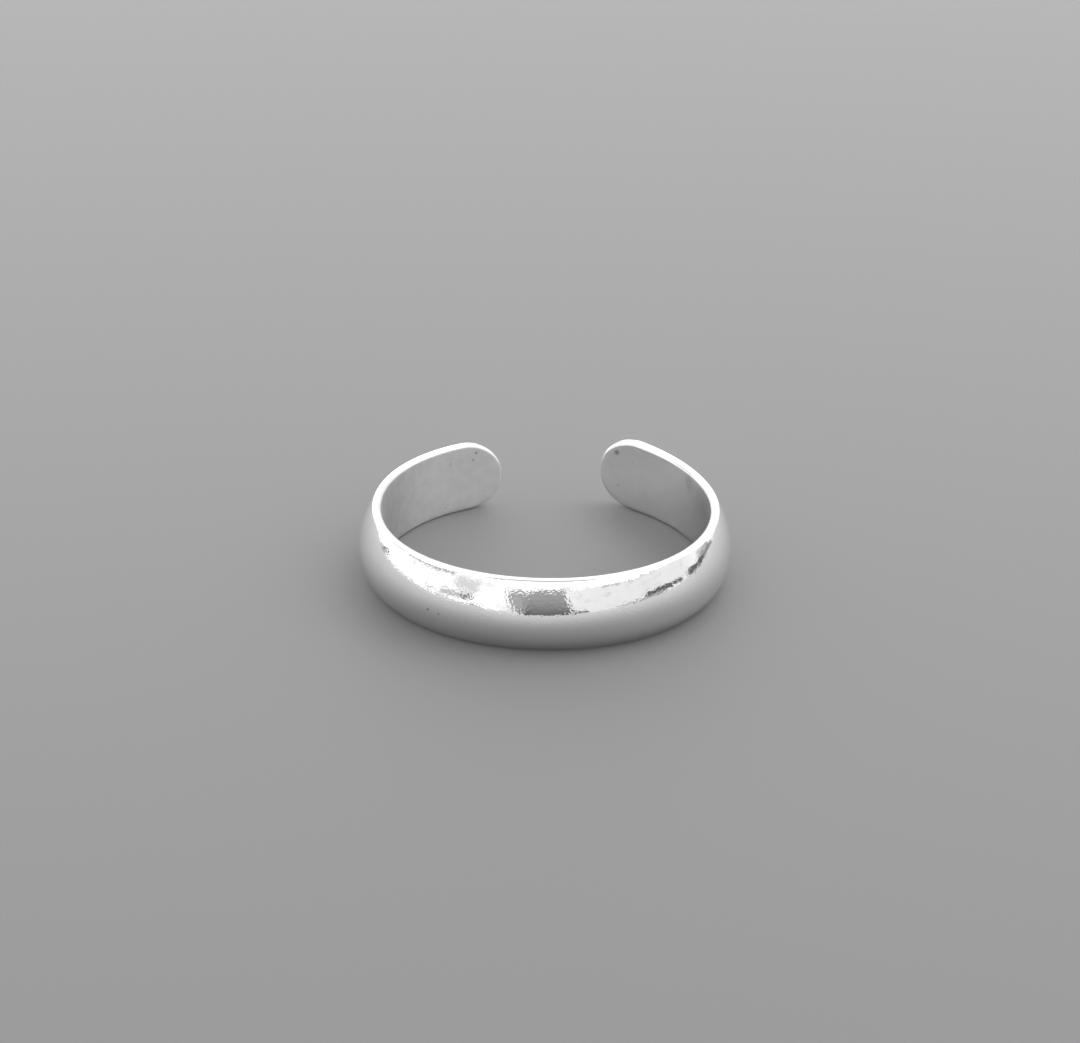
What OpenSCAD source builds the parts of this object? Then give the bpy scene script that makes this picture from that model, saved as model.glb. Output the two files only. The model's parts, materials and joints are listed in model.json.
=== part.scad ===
// Plain adjustable toe ring: one strip of half-round silver, bent to an open ring.
// Millimetres. The ring lies on its side: Z runs along its axis, its lower rim is on
// the base plane z = 0, and the open gap between its two tips faces +Y.

/* [Ring] */
// Inner diameter, where the toe goes in
inner_d = 15.5; // [13:0.1:19]
// Open angle between the two tips, seen along the ring's axis
gap_angle = 36; // [20:1:60]

/* [Band] */
// Width of the band along the ring's axis
band_w = 3.5; // [2.6:0.1:4.5]
// Thickness at the crown of the dome
crown_t = 1.03; // [0.95:0.01:1.4]
// Thickness of the flat rim on each side
rim_t = 0.4; // [0.35:0.05:0.6]
// Radius that eases the inner edges for the skin
edge_r = 0.15; // [0.05:0.01:0.18]

/* [Tips] */
// Thickness left at the very end of each tip
tip_t = 0.6; // [0.6:0.05:0.8]

/* [Hidden] */

// Facets of the long arcs round the ring's axis, and of the short ones
ring_fn = 192;
$fn = 96;

inner_r = inner_d / 2;
outer_r = inner_r + crown_t;

// The dome is one arc through the outer edges of both rims and the crown.
dome_rise = crown_t - rim_t;
dome_r = (pow(band_w / 2, 2) + pow(dome_rise, 2)) / (2 * dome_rise);

// Each tip is rounded to half a disc, a little wider than the band, so that its outline
// crosses the rims at a slight corner. The disc's centre stands back from the gap.
tip_overlap = 0.03;
tip_r = band_w / 2 + tip_overlap;
tip_angle = gap_angle / 2 + asin(tip_r / inner_r);

// From the disc's centre to the apex the crown rolls down to the tip's thickness, along an
// arc that starts a few degrees down from the crown's own direction.
roll_slope = 6;
roll_drop = outer_r - sqrt(pow(inner_r, 2) - pow(tip_r, 2)) - tip_t;
roll_r = norm([tip_r, roll_drop]) / (2 * sin(atan(roll_drop / tip_r) - roll_slope));
roll_lead = roll_r * sin(roll_slope);

// Length that a cutting shape has to spare past what it cuts
spare = 1;
// Angle that the bent strip has to spare past each apex, before it is cut
spare_angle = 2;

// Half-round section, flat side inwards, at its own distance from the ring's axis
module half_round() {
    intersection() {
        translate([outer_r - dome_r, band_w / 2])
            circle(r = dome_r);
        union() {
            translate([inner_r, edge_r])
                square([crown_t, band_w - 2 * edge_r]);
            translate([inner_r + edge_r, 0])
                square([crown_t, band_w]);
            for (z = [edge_r, band_w - edge_r])
                translate([inner_r + edge_r, z])
                    circle(r = edge_r);
        }
    }
}

// The strip bent to an open ring, with square ends that reach past both apexes
module bent_strip() {
    cut_angle = gap_angle / 2 - spare_angle;
    rotate([0, 0, 90 + cut_angle])
        rotate_extrude(angle = 360 - 2 * cut_angle, $fn = ring_fn)
            half_round();
}

// What is cut from the end of the strip to leave the round outline of a tip
module outline_cut() {
    translate([inner_r - 2 * spare, 0, band_w / 2])
        rotate([90, 0, 90])
            linear_extrude(height = crown_t + 4 * spare)
                difference() {
                    translate([0, -band_w])
                        square([tip_r + spare, 2 * band_w]);
                    circle(r = tip_r);
                }
}

// What is cut from the outside of a tip to roll its crown down to the apex
module crown_cut() {
    difference() {
        translate([inner_r, -roll_lead, -spare])
            cube([crown_t + spare, roll_lead + tip_r + spare, band_w + 2 * spare]);
        translate([outer_r - roll_r * cos(roll_slope), -roll_lead, -2 * spare])
            cylinder(r = roll_r, h = band_w + 4 * spare);
    }
}

// Both cuts at the right tip, turned from the X axis to the disc's centre
module tip_cuts() {
    rotate([0, 0, 90 - tip_angle]) {
        outline_cut();
        crown_cut();
    }
}

// The whole ring is one piece of metal.
module band() {
    color("silver")
        difference() {
            bent_strip();
            tip_cuts();
            mirror([1, 0, 0])
                tip_cuts();
        }
}

band();
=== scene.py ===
"""Looks of a plain open toe ring: one band of half-round silver with two rounded tips, on its side."""
import json
import math

import bmesh
import bpy
import numpy as np
from mathutils import Matrix, Vector


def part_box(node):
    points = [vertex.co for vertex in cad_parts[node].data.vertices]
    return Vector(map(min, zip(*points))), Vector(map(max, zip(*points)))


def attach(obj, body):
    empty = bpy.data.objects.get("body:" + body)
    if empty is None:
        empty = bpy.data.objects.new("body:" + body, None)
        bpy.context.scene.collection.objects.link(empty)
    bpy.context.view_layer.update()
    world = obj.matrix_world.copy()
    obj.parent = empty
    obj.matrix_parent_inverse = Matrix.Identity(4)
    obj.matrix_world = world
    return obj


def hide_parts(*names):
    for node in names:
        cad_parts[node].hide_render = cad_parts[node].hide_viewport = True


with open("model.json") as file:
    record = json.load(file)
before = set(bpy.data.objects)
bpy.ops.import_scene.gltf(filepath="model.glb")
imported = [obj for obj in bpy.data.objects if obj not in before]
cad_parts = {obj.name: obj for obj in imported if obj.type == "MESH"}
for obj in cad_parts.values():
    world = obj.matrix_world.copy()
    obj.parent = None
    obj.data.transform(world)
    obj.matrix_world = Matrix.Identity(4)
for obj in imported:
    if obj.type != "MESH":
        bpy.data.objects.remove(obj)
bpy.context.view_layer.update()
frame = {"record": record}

MM = 0.001

# Sizes that the frame gives, in metres
band_low, band_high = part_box("band")
mounts = {mount["name"]: mount for mount in frame["record"]["mounts"]}
INNER_R = mounts["toe_opening"]["dims"]["r_mm"] * MM
BAND_W = band_high.z - band_low.z
HALF_W = BAND_W / 2
CROWN_T = band_high.x - INNER_R

# Sizes of the section
RIM_T = 0.4 * MM
INNER_EDGE_R = 0.15 * MM
OUTER_EDGE_R = 0.1 * MM
# The crest of the dome lies a little below the middle of the band: the dome's slope at the middle,
# what is added to it in front, and about how far round that reaches
CREST_SLOPE = -0.1
CREST_SLOPE_FRONT = -0.045
FRONT_REACH = math.radians(17)
# Hand bending left the ring a little flat at four places: in front, at both sides and at the gap.
FLAT_PLACES = 4
FLATNESS = 0.04 * MM

# Slight waves that hand polishing left in the dome: their depth, and for each how fast it turns along
# and across the strip, in radians for each millimetre, the angle that it starts from, and its share
WAVE_DEPTH = 0.0015 * MM
WAVES = [
    {"along": 0.83, "across": 0.9, "start": 0.4, "share": 1.0},
    {"along": 1.71, "across": -1.3, "start": 2.1, "share": 0.7},
    {"along": 3.3, "across": 2.2, "start": 5.0, "share": 0.4},
]

# The open gap between the tips
GAP_ANGLE = math.radians(36)
# For each tip: its side of the gap, the length of its rounding, how far that reaches past the frame's
# own tip, the powers of its outline above and below, the thickness of its rim, how far hand bending
# moved it outwards, and how much wider it is than the band
TIPS = {
    "right": {
        "side": 1, "length": 2.0 * MM, "past": 0.08 * MM, "powers": (2.5, 2.1),
        "rim": 0.55 * MM, "bend": 0.36 * MM, "spread": 0.09 * MM,
    },
    "left": {
        "side": -1, "length": 2.05 * MM, "past": 0.0, "powers": (1.98, 2.45),
        "rim": 0.4 * MM, "bend": -0.05 * MM, "spread": 0.0,
    },
}
# How far from its apex a tip's own values start to come in, and where they are reached in full
END_REACH = math.radians(55)
SHOULDER = math.radians(12)

# Mesh steps
LONG_STEPS = 640
TIP_STEPS = 72
DOME_STEPS = 22
CORNER_STEPS = 5
RIM_STEPS = 3
INNER_STEPS = 8
# Points of the mesh that lie closer than this are joined.
WELD_DISTANCE = 0.0005 * MM


def dome_radius(edge_t):
    """Radius of the arc through the crown and the outer edges of both rims."""
    rise = CROWN_T - edge_t
    return (HALF_W ** 2 + rise ** 2) / (2 * rise)


def dome(share, side, edge_t, slope):
    """Thickness of the domed part at a share of the way from the middle line to the outline."""
    radius = dome_radius(edge_t)
    height = share * HALF_W
    arc = CROWN_T - radius + math.sqrt(radius ** 2 - height ** 2)
    return arc + slope * side * height * (1 - share ** 2)


def edge_slope(side, edge_t, slope):
    """Slope of the dome where it meets the rim, as thickness gained for each step inwards."""
    return math.tan(math.asin(HALF_W / dome_radius(edge_t))) + 2 * slope * side


def half_section(side, edge_t, slope):
    """Points (share, thickness) from the crest over the rim to the middle of the inner wall."""
    turn = math.pi / 2 - math.atan(edge_slope(side, edge_t, slope))
    corner_low = edge_t - OUTER_EDGE_R * math.tan(turn / 2)
    dome_share = 1 - OUTER_EDGE_R * (1 - math.cos(turn)) / HALF_W
    points = []
    for step in range(DOME_STEPS):
        share = dome_share * step / DOME_STEPS
        points.append((share, dome(share, side, edge_t, slope)))
    for step in range(CORNER_STEPS, -1, -1):
        angle = turn * step / CORNER_STEPS
        inset = OUTER_EDGE_R * (1 - math.cos(angle))
        points.append((1 - inset / HALF_W, corner_low + OUTER_EDGE_R * math.sin(angle)))
    for step in range(1, RIM_STEPS):
        drop = (corner_low - INNER_EDGE_R) * step / RIM_STEPS
        points.append((1, corner_low - drop))
    for step in range(CORNER_STEPS + 1):
        angle = math.pi / 2 * step / CORNER_STEPS
        inset = INNER_EDGE_R * (1 - math.cos(angle))
        points.append((1 - inset / HALF_W, INNER_EDGE_R * (1 - math.sin(angle))))
    wall_share = 1 - INNER_EDGE_R / HALF_W
    for step in range(1, INNER_STEPS + 1):
        points.append((wall_share * (1 - step / INNER_STEPS), 0))
    return points


def crest_slope(along):
    """Slope of the dome at the middle of the band."""
    from_front = (along / INNER_R - math.pi) / FRONT_REACH
    return CREST_SLOPE + CREST_SLOPE_FRONT * math.exp(-from_front ** 2)


def tip_centre(tip):
    """Arc length, from the middle of the gap, of the point where a tip's rounding starts."""
    apex = GAP_ANGLE / 2 * INNER_R
    full = 2 * math.pi * INNER_R
    start = apex - tip["past"] + tip["length"]
    return start if tip["side"] > 0 else full - start


def edge_stations(start, end, side):
    """Stations along the band's upper edge, on side 1, or its lower edge, on side -1."""
    stations = []
    for step in range(LONG_STEPS):
        along = start + (end - start) * step / LONG_STEPS
        stations.append(((along, side * HALF_W), along, side))
    return stations


def tip_stations(tip, centre):
    """Stations round one tip, in the order of the outline."""
    stations = []
    for step in range(TIP_STEPS):
        angle = math.pi * (step / TIP_STEPS - 0.5) * tip["side"]
        power = tip["powers"][0] if angle > 0 else tip["powers"][1]
        reach = abs(math.cos(angle)) ** (2 / power) * tip["length"]
        across = math.copysign(abs(math.sin(angle)) ** (2 / power), math.sin(angle))
        stations.append(((centre - tip["side"] * reach, across * HALF_W), centre, across))
    return stations


def outline():
    """Stations round the outline: point on it, point on the middle line, and its side from -1 to 1."""
    right, left = TIPS["right"], TIPS["left"]
    start, end = tip_centre(right), tip_centre(left)
    stations = edge_stations(start, end, 1)
    stations += tip_stations(left, end)
    stations += edge_stations(end, start, -1)
    stations += tip_stations(right, start)
    return stations


def end_value(along, name, elsewhere=0.0):
    """A value that changes gradually towards each tip, from the one that the rest of the band has."""
    angle = along / INNER_R
    value = elsewhere
    for tip in TIPS.values():
        from_gap = angle if tip["side"] > 0 else 2 * math.pi - angle
        from_apex = from_gap - GAP_ANGLE / 2
        near = min(1, max(0, 1 - (from_apex - SHOULDER) / (END_REACH - SHOULDER)))
        value += (tip[name] - elsewhere) * near ** 2
    return value


def unevenness(along, across):
    """Height of the dome's waves, as a share of their depth."""
    height = 0
    for wave in WAVES:
        angle = wave["along"] * (along / MM) + wave["across"] * (across / MM) + wave["start"]
        height += wave["share"] * math.sin(angle)
    return height


def place(along, across, thickness):
    """Wraps a point of the flat strip round the ring's axis."""
    angle = along / INNER_R
    flattening = FLATNESS * math.cos(FLAT_PLACES * angle)
    radius = INNER_R + thickness + end_value(along, "bend") - flattening
    height = (BAND_W + end_value(along, "spread")) * (across / BAND_W + 0.5)
    return (radius * math.sin(angle), radius * math.cos(angle), height)


def band_points(stations):
    """Points of the band, a row for each station, both in space and on the flat strip, which is in mm."""
    points, strip = [], []
    for (edge_along, edge_across), middle, side in stations:
        edge_t = end_value(edge_along, "rim", RIM_T)
        for share, thickness in half_section(side, edge_t, crest_slope(middle)):
            along = middle + (edge_along - middle) * share
            across = edge_across * share
            fade = min(1, max(0, thickness - edge_t) / (CROWN_T - edge_t))
            thickness += WAVE_DEPTH * unevenness(along, across) * fade
            points.append(place(along, across, thickness))
            strip.append((along / MM, across / MM, thickness / MM))
    return points, strip


def band_mesh():
    """The band as one closed mesh, which keeps each point's place on the flat strip as an attribute."""
    stations = outline()
    points, strip = band_points(stations)
    rows, columns = len(stations), len(points) // len(stations)
    faces = []
    for row in range(rows):
        following = (row + 1) % rows
        for column in range(columns - 1):
            faces.append((
                row * columns + column,
                row * columns + column + 1,
                following * columns + column + 1,
                following * columns + column,
            ))
    mesh = bpy.data.meshes.new("ring_band")
    mesh.from_pydata(points, [], faces)
    attribute = mesh.attributes.new("strip", "FLOAT_VECTOR", "POINT")
    attribute.data.foreach_set("vector", np.array(strip, np.float32).ravel())
    return mesh


def welded(mesh):
    """Joins points that meet on the middle lines, turns the faces outwards and shades them smooth."""
    work = bmesh.new()
    work.from_mesh(mesh)
    bmesh.ops.remove_doubles(work, verts=work.verts, dist=WELD_DISTANCE)
    bmesh.ops.recalc_face_normals(work, faces=work.faces)
    for face in work.faces:
        face.smooth = True
    work.to_mesh(mesh)
    work.free()
    return mesh


class Nodes:
    """Short calls for building a node tree."""

    def __init__(self, tree):
        self.tree = tree
        tree.nodes.clear()

    def add(self, kind, **settings):
        node = self.tree.nodes.new(kind)
        for name, value in settings.items():
            setattr(node, name, value)
        return node

    def link(self, source, target):
        self.tree.links.new(source, target)

    def feed(self, socket, value):
        """Links a socket or sets a plain value."""
        if isinstance(value, bpy.types.NodeSocket):
            self.link(value, socket)
        else:
            socket.default_value = value

    def math(self, operation, *values):
        node = self.add("ShaderNodeMath", operation=operation)
        for socket, value in zip(node.inputs, values):
            self.feed(socket, value)
        return node.outputs[0]

    def distance(self, first, second):
        """Distance between two places."""
        node = self.add("ShaderNodeVectorMath", operation="DISTANCE")
        self.feed(node.inputs[0], first)
        self.feed(node.inputs[1], second)
        return node.outputs["Value"]

    def scaled(self, vector, factors):
        """A vector with each of its parts multiplied by a factor of its own."""
        node = self.add("ShaderNodeVectorMath", operation="MULTIPLY")
        self.feed(node.inputs[0], vector)
        self.feed(node.inputs[1], factors)
        return node.outputs["Vector"]

    def parts(self, vector):
        """The three parts of a vector."""
        node = self.add("ShaderNodeSeparateXYZ")
        self.link(vector, node.inputs[0])
        return node.outputs

    def ramp(self, value, low, high, start=0.0, end=1.0):
        """A smooth step of value from low to high, which gives start to end."""
        node = self.add("ShaderNodeMapRange", interpolation_type="SMOOTHSTEP")
        for socket, given in zip(node.inputs, (value, low, high, start, end)):
            self.feed(socket, given)
        return node.outputs[0]

    def noise(self, vector, scale, detail=2.0):
        """Noise at a place, from about 0.2 to 0.8, with finer noise in it by its detail."""
        node = self.add("ShaderNodeTexNoise")
        self.link(vector, node.inputs["Vector"])
        node.inputs["Scale"].default_value = scale
        node.inputs["Detail"].default_value = detail
        return node.outputs["Fac"]

    def between(self, share, first, second):
        """The value at a share of the way from first to second."""
        node = self.add("ShaderNodeMix", data_type="FLOAT")
        self.feed(node.inputs["Factor"], share)
        self.feed(node.inputs["A"], first)
        self.feed(node.inputs["B"], second)
        return node.outputs["Result"]


# Finish of the outside: its tone, the roughness of the polish and of the haze on it, and the haze's share
OUTSIDE_TONE = 0.92
OUTSIDE_POLISH = 0.03
OUTSIDE_HAZE = 0.38
OUTSIDE_HAZE_SHARE = 0.05
# The inner wall's finish gives way to that of the outside between these distances from the wall, in mm.
WALL_LIMITS = (0.12, 0.24)
# Finish of the inner wall: the roughness of its polish where the mottle is least and most, and of its
# haze
WALL_POLISH = (0.17, 0.22)
WALL_HAZE = 0.55
# The haze's share at the right and at the left, and where along the strip it changes, in mm
WALL_HAZE_SHARE = (0.15, 0.8)
WALL_HAZE_PLACES = (12.0, 36.0)
# The wall's tone in front and at the ends, where the darker tone in front is painted shade, and how far
# from the middle of the front it changes, in mm
WALL_TONES_WITH_PAINTED_SHADE = (0.64, 0.98)
WALL_PAINTED_SHADE_PLACES = (13.5, 18.5)
# Mottle of the wall: how many patches in a millimetre, their limits in the noise, and how much darker
MOTTLE_SCALE = 1.8
MOTTLE_DETAIL = 5.0
MOTTLE_LIMITS = (0.3, 0.7)
MOTTLE_DARK = 0.06

# Fine waves that polishing left in the outside: how many there are in a millimetre, and how deep they are
PEEL_SCALE = 9.0
PEEL_DEPTH = 0.0048 * MM
# Calmer places in these waves: how many, their limits in the noise, and the share of the depth left there
CALM_SCALE = 0.9
CALM_LIMITS = (0.35, 0.65)
CALM_SHARE = 0.35
# Places where wear made these waves deeper: where along and across the strip, their radius, both in mm,
# and the share of the depth gained
WORN = [
    {"place": (25.3, 1.0), "radius": 0.9, "gain": 0.6},
    {"place": (24.0, 1.4), "radius": 0.6, "gain": 0.8},
    {"place": (27.4, 1.0), "radius": 0.9, "gain": 0.6},
]
# Fine grain of the inner wall
GRAIN_SCALE = 22.0
GRAIN_DEPTH = 0.0016 * MM

# Tarnish marks and pits: where along, across and through the strip, their radius, how much darker they
# are, and the depth of the pits, with all lengths in mm
MARKS = [
    {"place": (44.91, 1.25, 0), "radius": 0.1, "dark": 0.45},
    {"place": (44.75, 0.91, 0), "radius": 0.09, "dark": 0.35},
    {"place": (43.49, 0.94, 0), "radius": 0.09, "dark": 0.2},
    {"place": (43.19, -1.34, 0), "radius": 0.09, "dark": 0.15},
    {"place": (3.19, 1.12, 0), "radius": 0.17, "dark": 0.5},
    {"place": (3.29, -0.57, 0), "radius": 0.11, "dark": 0.22},
    {"place": (4.07, 0.74, 0), "radius": 0.09, "dark": 0.2},
    {"place": (4.71, -0.61, 0), "radius": 0.1, "dark": 0.15},
    {"place": (8.1, 1.2, 0), "radius": 0.55, "dark": 0.16},
    {"place": (29.1, -0.29, 1.02), "radius": 0.09, "dark": 0.45, "depth": 0.002},
    {"place": (28.58, -0.34, 1.02), "radius": 0.07, "dark": 0.4, "depth": 0.002},
]
# Share of its radius at which a mark or a worn place starts to fade
CORE_SHARE = 0.4
# How ragged the edges of the marks are: how often in a millimetre, and how far, in mm
RAGGED_SCALE = 12.0
RAGGED_REACH = 0.04


def spot(n, distance, radius, strength=1.0):
    """A round spot that fades from its strength in its core to nothing at its radius."""
    return n.ramp(distance, CORE_SHARE * radius, radius, strength, 0.0)


def surface_height(n, strip, wall):
    """Height of the fine waves of the outside and of the grain of the inner wall."""
    depth = n.ramp(n.noise(strip, CALM_SCALE), *CALM_LIMITS, CALM_SHARE, 1.0)
    for area in WORN:
        distance = n.distance(strip, (*area["place"], CROWN_T / MM))
        depth = n.math("ADD", depth, spot(n, distance, area["radius"], area["gain"]))
    outside = n.math("SUBTRACT", 1.0, wall)
    peel = n.math("MULTIPLY", n.noise(strip, PEEL_SCALE, detail=1.0), n.math("MULTIPLY", depth, outside))
    grain = n.math("MULTIPLY", n.noise(strip, GRAIN_SCALE), wall)
    return n.math("ADD", n.math("MULTIPLY", peel, PEEL_DEPTH), n.math("MULTIPLY", grain, GRAIN_DEPTH))


def wall_tone_and_painted_shade(n, along, mottle):
    """Tone of the inner wall, with painted shade that makes it darker in front than at the ends, and a
    little mottled.
    """
    from_front = n.math("ABSOLUTE", n.math("SUBTRACT", along, math.pi * INNER_R / MM))
    # Painted shade: the colour of the wall is made darker in front and along the sides than at the ends.
    tone_with_shade = n.ramp(from_front, *WALL_PAINTED_SHADE_PLACES, *WALL_TONES_WITH_PAINTED_SHADE)
    return n.math("MULTIPLY_ADD", mottle, -MOTTLE_DARK, tone_with_shade)


def with_marks(n, strip, tone, height):
    """Tone and height with the tarnish marks and the pits."""
    ragged = n.ramp(n.noise(strip, RAGGED_SCALE), 0, 1, -RAGGED_REACH, RAGGED_REACH)
    for mark in MARKS:
        distance = n.math("ADD", n.distance(strip, mark["place"]), ragged)
        cover = spot(n, distance, mark["radius"])
        kept = n.math("SUBTRACT", 1.0, n.math("MULTIPLY", cover, mark["dark"]))
        tone = n.math("MULTIPLY", tone, kept)
        if "depth" in mark:
            height = n.math("SUBTRACT", height, n.math("MULTIPLY", cover, mark["depth"] * MM))
    return tone, height


def silver_material():
    """Polished silver outside, satin and mottled on the inner wall with painted shade in front, with
    small tarnish marks and pits.
    """
    material = bpy.data.materials.new("polished_silver")
    material.use_nodes = True
    n = Nodes(material.node_tree)
    strip = n.add("ShaderNodeAttribute", attribute_name="strip").outputs["Vector"]
    along, _, thickness = n.parts(strip)
    wall = n.ramp(thickness, *WALL_LIMITS, 1.0, 0.0)
    mottle = n.ramp(n.noise(strip, MOTTLE_SCALE, detail=MOTTLE_DETAIL), *MOTTLE_LIMITS)
    tone = n.between(wall, OUTSIDE_TONE, wall_tone_and_painted_shade(n, along, mottle))
    tone, height = with_marks(n, strip, tone, surface_height(n, strip, wall))
    bump = n.add("ShaderNodeBump")
    bump.inputs["Strength"].default_value = 1.0
    bump.inputs["Distance"].default_value = 1.0
    n.link(height, bump.inputs["Height"])
    tint = n.add("ShaderNodeCombineColor")
    for socket in tint.inputs:
        n.link(tone, socket)
    polish = n.add("ShaderNodeBsdfPrincipled")
    haze = n.add("ShaderNodeBsdfPrincipled")
    for shader in (polish, haze):
        n.link(tint.outputs[0], shader.inputs["Base Color"])
        shader.inputs["Metallic"].default_value = 1.0
        n.link(bump.outputs["Normal"], shader.inputs["Normal"])
    n.link(n.between(wall, OUTSIDE_POLISH, n.between(mottle, *WALL_POLISH)), polish.inputs["Roughness"])
    n.link(n.between(wall, OUTSIDE_HAZE, WALL_HAZE), haze.inputs["Roughness"])
    satin = n.ramp(along, *WALL_HAZE_PLACES, *WALL_HAZE_SHARE)
    mix = n.add("ShaderNodeMixShader")
    n.link(n.between(wall, OUTSIDE_HAZE_SHARE, satin), mix.inputs[0])
    n.link(polish.outputs[0], mix.inputs[1])
    n.link(haze.outputs[0], mix.inputs[2])
    output = n.add("ShaderNodeOutputMaterial")
    n.link(mix.outputs[0], output.inputs["Surface"])
    return material


# The floor: how far it reaches, in metres, its finish, and the sheen that makes it paler far away
FLOOR_REACH = 3.0
FLOOR_TONE = 0.19
FLOOR_ROUGHNESS = 0.6
FLOOR_SHEEN = 0.6
FLOOR_SHEEN_ROUGHNESS = 0.4


def floor_material():
    """Plain pale matt floor."""
    material = bpy.data.materials.new("pale_floor")
    material.use_nodes = True
    shader = material.node_tree.nodes["Principled BSDF"]
    shader.inputs["Base Color"].default_value = (FLOOR_TONE, FLOOR_TONE, FLOOR_TONE, 1)
    shader.inputs["Roughness"].default_value = FLOOR_ROUGHNESS
    shader.inputs["Sheen Weight"].default_value = FLOOR_SHEEN
    shader.inputs["Sheen Roughness"].default_value = FLOOR_SHEEN_ROUGHNESS
    return material


def make_band():
    """The whole ring, which is one piece."""
    piece = bpy.data.objects.new("ring_band", welded(band_mesh()))
    bpy.context.scene.collection.objects.link(piece)
    piece.data.materials.append(silver_material())
    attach(piece, "root")
    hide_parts("band")
    return piece


def make_floor():
    """The floor that the ring lies on, which is no part of the ring."""
    mesh = bpy.data.meshes.new("floor")
    near, far = -FLOOR_REACH, FLOOR_REACH
    corners = [(near, near, 0), (far, near, 0), (far, far, 0), (near, far, 0)]
    mesh.from_pydata(corners, [], [(0, 1, 2, 3)])
    floor = bpy.data.objects.new("floor", mesh)
    floor.data.materials.append(floor_material())
    bpy.context.scene.collection.objects.link(floor)
    return floor


# Camera, fitted to the edges of the ring in the photograph: 1080 by 1043 pixels
PICTURE_W, PICTURE_H = 1080, 1043
FOCAL_PX = 3276
RING_AXIS_PX = (544.94, 571.39)
PITCH = math.radians(25.2)
ROLL = math.radians(-0.756)
TURN = math.radians(1.6)
DISTANCE = 155 * MM
SENSOR_W = 36
CLIP_START = 10 * MM
CLIP_END = 20

# Studio light by direction, in degrees: azimuth 0 is the camera's side and grows to the right, and
# elevation is above the floor.
# Each card has its left and right, its bottom and top, and its brightness, which may differ at its top.
# It may lean, in azimuth for each degree of elevation, rise, in elevation for each degree of azimuth,
# and have soft edges. A later card covers the earlier ones.
CARDS = [
    {"azimuth": (80, 165), "elevation": (38, 68), "level": 3.0, "soft": 12},
    {"azimuth": (-40, 40), "elevation": (36, 78), "level": 0.4, "soft": 6},
    {"azimuth": (-150, -40), "elevation": (42, 80), "level": 1.2, "soft": 6},
    {"azimuth": (-97, -58), "elevation": (20.5, 25), "level": 0.48, "rise": 0.2, "soft": 2},
    {"azimuth": (-55, -38), "elevation": (13, 26), "level": 0.74, "rise": -0.1, "soft": 6},
    {"azimuth": (-138, -112), "elevation": (27, 38), "level": 0.2, "soft": 3},
    {"azimuth": (-24, 118), "elevation": (24.5, 38), "level": 1.7},
    {"azimuth": (34, 76), "elevation": (22.9, 24.6), "level": 0.6},
    {
        "azimuth": (-18.5, 13), "elevation": (-8, 22), "level": 0.05, "top_level": 0.36,
        "lean": -0.2, "rise": 0.15,
    },
    {"azimuth": (-19.5, -11), "elevation": (4, 21.5), "level": 0.4, "lean": -0.2, "rise": 0.1, "soft": 2},
    {"azimuth": (-23, -12), "elevation": (-3, 4), "level": 0.85, "lean": -0.6, "soft": 2},
    {"azimuth": (14, 25), "elevation": (-3, 2.5), "level": 0.17},
    {"azimuth": (36, 53), "elevation": (-2, 1), "level": 0.5, "rise": 0.1},
    {"azimuth": (51, 76), "elevation": (-2, 3), "level": 0.35, "rise": 0.12},
    {"azimuth": (60, 78), "elevation": (2.6, 6.8), "level": 0.1},
    {"azimuth": (77, 89), "elevation": (1.6, 5), "level": 0.12, "rise": -0.15},
    {"azimuth": (95, 115), "elevation": (-1, 4.2), "level": 0.1, "rise": -0.05},
    {"azimuth": (113, 127), "elevation": (-0.5, 3.6), "level": 0.25, "rise": -0.2},
    {"azimuth": (109, 123), "elevation": (3.5, 8), "level": 0.5, "rise": -0.2, "soft": 3},
    {"azimuth": (-122, -110), "elevation": (0.2, 2.2), "level": 0.2, "rise": 0.15},
    {"azimuth": (-63, -42), "elevation": (4, 10), "level": 0.55, "rise": 0.2, "soft": 4},
    {"azimuth": (-47.5, -42.5), "elevation": (5, 10.5), "level": 0.2, "rise": 0.3},
    {"azimuth": (-42, -35.5), "elevation": (-2, 1.5), "level": 0.25},
    {"azimuth": (-73, -68), "elevation": (3, 5.5), "level": 0.6},
]
# Brightness of the rest: at the left, at the right, added towards the back, and high up
LEVEL_LEFT = 1.2
LEVEL_RIGHT = 0.9
LEVEL_BACK = 0.6
LEVEL_ABOVE = 0.9
# How far to each side of the middle it changes from left to right, as a part of the direction
SIDE_REACH = 0.6
# Elevations between which it turns into that high up
ABOVE_LIMITS = (34, 46)
# Wander of the cards' edges: how far, in degrees, its scale on the sphere of directions, and its limits
# in the noise
EDGE_WANDER = 1.0
EDGE_SCALE = 16
EDGE_LIMITS = (0.2, 0.8)
# Darker patches in the rest: their depth, scale and limits in the noise, and how much flatter they are
PATCH_DEPTH = 0.22
PATCH_SCALE = 8
PATCH_LIMITS = (0.5, 0.75)
PATCH_FLATTENING = (1, 1, 2)


def covered(n, value, low, high, soft):
    """Whether a value lies between two others, with soft ends where that is asked for."""
    middle, half = (low + high) / 2, (high - low) / 2
    if not soft:
        return n.math("COMPARE", value, middle, half)
    away = n.math("ABSOLUTE", n.math("SUBTRACT", value, middle))
    return n.ramp(away, half + soft / 2, half - soft / 2)


def card_cover(n, card, azimuth, elevation):
    """How much of a direction is covered by a card, from 0 to 1."""
    left, right = card["azimuth"]
    bottom, top = card["elevation"]
    lean, rise = card.get("lean", 0.0), card.get("rise", 0.0)
    side, height = azimuth, elevation
    if lean:
        side = n.math("MULTIPLY_ADD", elevation, -lean, azimuth)
        left, right = [edge - lean * (bottom + top) / 2 for edge in (left, right)]
    if rise:
        height = n.math("MULTIPLY_ADD", azimuth, -rise, elevation)
        bottom, top = [edge - rise * sum(card["azimuth"]) / 2 for edge in (bottom, top)]
    soft = card.get("soft", 0)
    beside = covered(n, side, left, right, soft)
    return n.math("MULTIPLY", beside, covered(n, height, bottom, top, soft))


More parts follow.
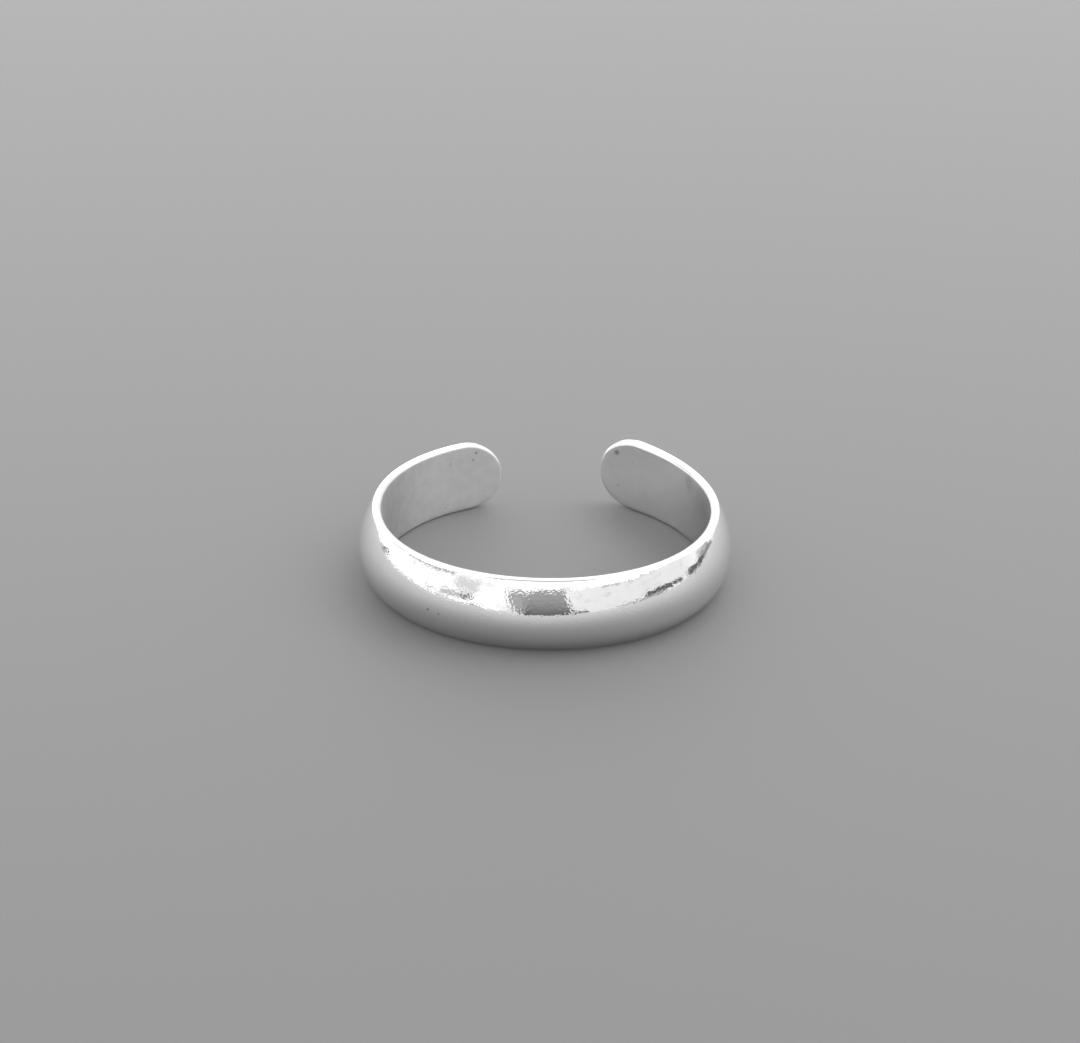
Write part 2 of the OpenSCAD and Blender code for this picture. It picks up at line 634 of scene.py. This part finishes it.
def room_level(n, direction, elevation):
    """Brightness of the room by direction, before the cards are in it."""
    x, y, _ = n.parts(direction)
    level = n.ramp(x, -SIDE_REACH, SIDE_REACH, LEVEL_LEFT, LEVEL_RIGHT)
    level = n.math("ADD", level, n.ramp(y, 0.0, 1.0, 0.0, LEVEL_BACK))
    patches = n.noise(n.scaled(direction, PATCH_FLATTENING), PATCH_SCALE)
    level = n.math("MULTIPLY", level, n.ramp(patches, *PATCH_LIMITS, 1.0, 1.0 - PATCH_DEPTH))
    return n.between(n.ramp(elevation, *ABOVE_LIMITS), level, LEVEL_ABOVE)


def studio_light():
    """Soft light from all round, with cards that the polished outside mirrors."""
    world = bpy.data.worlds.new("studio")
    world.use_nodes = True
    bpy.context.scene.world = world
    n = Nodes(world.node_tree)
    direction = n.add("ShaderNodeTexCoord").outputs["Generated"]
    x, y, z = n.parts(direction)
    wander = n.noise(direction, EDGE_SCALE, detail=1.0)
    wander = n.ramp(wander, *EDGE_LIMITS, -EDGE_WANDER, EDGE_WANDER)
    elevation = n.math("MULTIPLY_ADD", n.math("ARCSINE", z), math.degrees(1), wander)
    turned = n.math("SUBTRACT", wander, math.degrees(TURN))
    bearing = n.math("ARCTAN2", x, n.math("MULTIPLY", y, -1.0))
    azimuth = n.math("MULTIPLY_ADD", bearing, math.degrees(1), turned)
    level = room_level(n, direction, elevation)
    for card in CARDS:
        shade = card["level"]
        if "top_level" in card:
            shade = n.ramp(elevation, *card["elevation"], shade, card["top_level"])
        level = n.between(card_cover(n, card, azimuth, elevation), level, shade)
    background = n.add("ShaderNodeBackground")
    background.inputs["Color"].default_value = (1, 1, 1, 1)
    n.link(level, background.inputs["Strength"])
    output = n.add("ShaderNodeOutputWorld")
    n.link(background.outputs[0], output.inputs["Surface"])
    return world


def make_camera():
    """The camera, placed so that the foot of the ring's axis lies at its own place in the picture."""
    ahead, drop = math.cos(PITCH), math.sin(PITCH)
    forward = Vector((-math.sin(TURN) * ahead, math.cos(TURN) * ahead, -drop))
    level_right = Vector((math.cos(TURN), math.sin(TURN), 0))
    level_up = level_right.cross(forward)
    right = level_right * math.cos(ROLL) - level_up * math.sin(ROLL)
    up = level_right * math.sin(ROLL) + level_up * math.cos(ROLL)
    across = (RING_AXIS_PX[0] - PICTURE_W / 2) * DISTANCE / FOCAL_PX
    above = (PICTURE_H / 2 - RING_AXIS_PX[1]) * DISTANCE / FOCAL_PX
    location = -forward * DISTANCE - right * across - up * above
    data = bpy.data.cameras.new("camera")
    data.sensor_width = SENSOR_W
    data.lens = FOCAL_PX / PICTURE_W * SENSOR_W
    data.clip_start = CLIP_START
    data.clip_end = CLIP_END
    camera = bpy.data.objects.new("camera", data)
    camera.matrix_world = Matrix((
        (right.x, up.x, -forward.x, location.x),
        (right.y, up.y, -forward.y, location.y),
        (right.z, up.z, -forward.z, location.z),
        (0, 0, 0, 1),
    ))
    bpy.context.scene.collection.objects.link(camera)
    bpy.context.scene.camera = camera
    return camera


make_band()
make_floor()
studio_light()
make_camera()
bpy.context.scene.view_settings.view_transform = "Standard"
